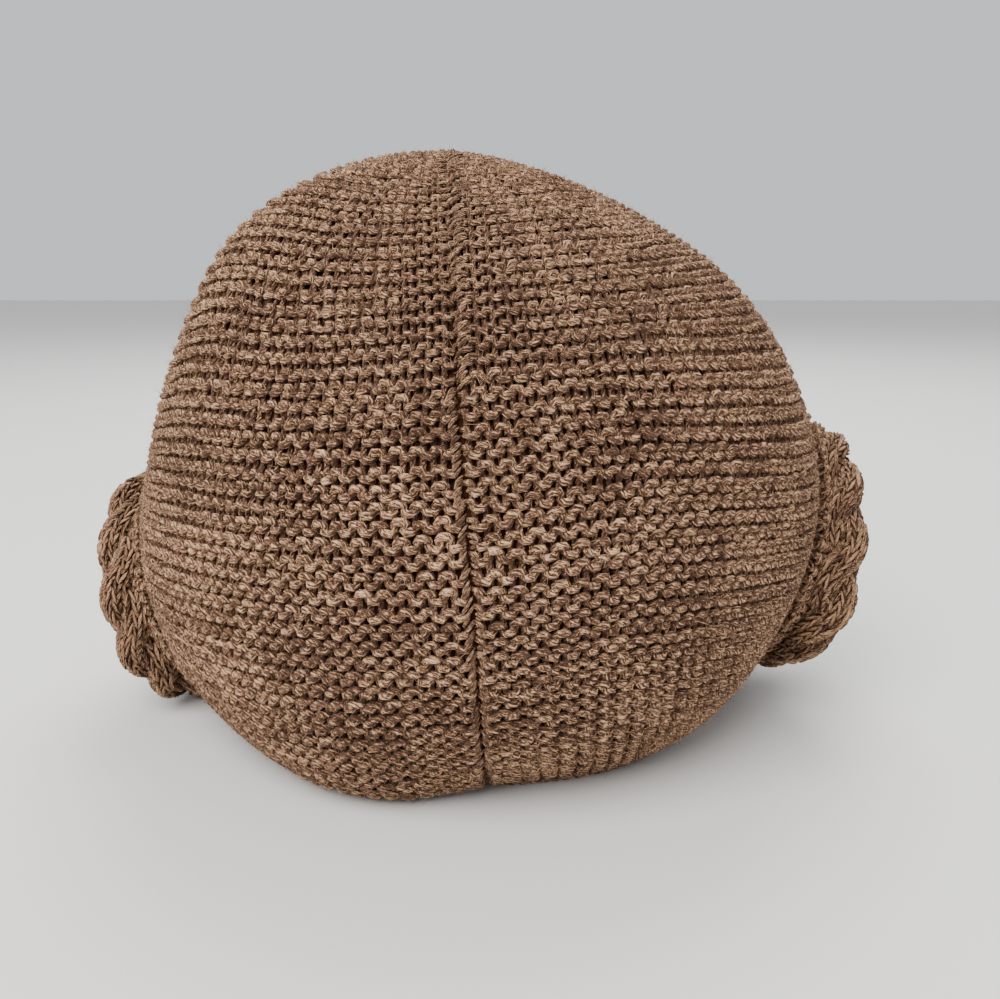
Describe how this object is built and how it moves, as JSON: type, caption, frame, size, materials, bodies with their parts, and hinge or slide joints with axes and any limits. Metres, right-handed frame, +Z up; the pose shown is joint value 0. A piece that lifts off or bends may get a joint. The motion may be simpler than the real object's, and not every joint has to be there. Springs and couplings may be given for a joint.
{
  "type": "knit hat",
  "caption": "Brown garter-knit hat with a centre-back seam, a tucked hem and a round plaited ear warmer at each side.",
  "frame": {"origin": "centre of the footprint, on the surface that the hat rests on", "axes": "+Z up, -Y towards the centre-back seam, +X to the right as seen from behind"},
  "size_m": [0.2232, 0.1934, 0.1613],
  "materials": {
    "crown_knit": "coarse marled brown knit",
    "pad_knit": "coarse marled brown knit, plain dome",
    "braid_knit": "marled brown knit, smooth side out"
  },
  "bodies": {
    "root": {"crown": "crown_knit", "ear_pad_left": "pad_knit", "ear_pad_right": "pad_knit", "braid_left_strand_1": "braid_knit", "braid_left_strand_2": "braid_knit", "braid_left_strand_3": "braid_knit", "braid_right_strand_1": "braid_knit", "braid_right_strand_2": "braid_knit", "braid_right_strand_3": "braid_knit"}
  },
  "joints": []
}
